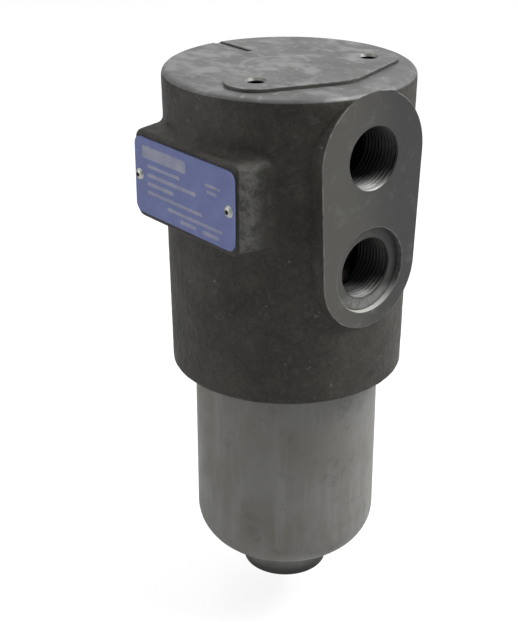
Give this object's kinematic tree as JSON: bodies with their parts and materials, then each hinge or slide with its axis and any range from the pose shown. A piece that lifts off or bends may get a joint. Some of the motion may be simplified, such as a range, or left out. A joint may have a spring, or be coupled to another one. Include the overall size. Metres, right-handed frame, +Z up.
{
  "type": "hydraulic pressure filter",
  "caption": "Bowl-type hydraulic pressure filter: a cast head with both ports on one face and a mounting pad on top, and a screwed steel bowl that holds a pleated element.",
  "frame": {"origin": "on the filter's axis, in the plane of the machined mounting pad on top of the head", "axes": "+Z up along the filter's axis, out of the mounting pad; -Y out of the two ports; -X out of the name plate"},
  "size_m": [0.1039, 0.0988, 0.2283],
  "materials": {
    "head_casting": "dark phosphated casting with a faint sheen",
    "bowl_steel": "phosphated steel, grey-brown",
    "plate_blue": "blue anodised sheet",
    "rivet_steel": "plated",
    "seal_rubber": "matt",
    "backup_white": "white backup ring",
    "turned_steel": "turned",
    "zinc_steel": "zinc plated",
    "spring_steel": "drawn wire",
    "copper_seal": "soft copper ring",
    "medium": "resin-bonded glass fibre medium"
  },
  "bodies": {
    "head": {"filter_head": "head_casting", "name_plate": "plate_blue", "plate_rivets": "rivet_steel", "bowl_o_ring": "seal_rubber", "bowl_backup_ring": "backup_white", "element_spigot": "turned_steel", "spigot_o_ring": "seal_rubber", "bypass_seat": "turned_steel", "bypass_spring": "spring_steel"},
    "element": {"element_top_cap": "zinc_steel", "element_o_ring": "seal_rubber", "element_pleats": "medium", "element_core_tube": "zinc_steel", "element_bands": "zinc_steel", "element_bottom_cap": "zinc_steel"},
    "bowl": {"filter_bowl": "bowl_steel", "drain_plug": "zinc_steel", "drain_plug_seal": "copper_seal", "element_spring": "spring_steel"},
    "poppet": {"bypass_poppet": "turned_steel"}
  },
  "joints": [
    {"name": "element_draw", "type": "slide", "parent": "head", "child": "element", "axis": [0, 0, -1], "range_m": [0, 0.0166]},
    {"name": "bowl_turn", "type": "hinge", "parent": "element", "child": "bowl", "pos_m": [0, 0, -0.1], "axis": [0, 0, -1], "range_deg": [0, 1980]},
    {"name": "bypass_lift", "type": "slide", "parent": "head", "child": "poppet", "axis": [0, 0, 1], "range_m": [0, 0.004], "stiffness_N_per_m": 9000, "springref_m": -0.0027, "deforming": ["bypass_spring"]}
  ],
  "couplings": [
    {"joint": "element_draw", "follows": "bowl_turn", "m_per_rad": 0.00047746}
  ]
}
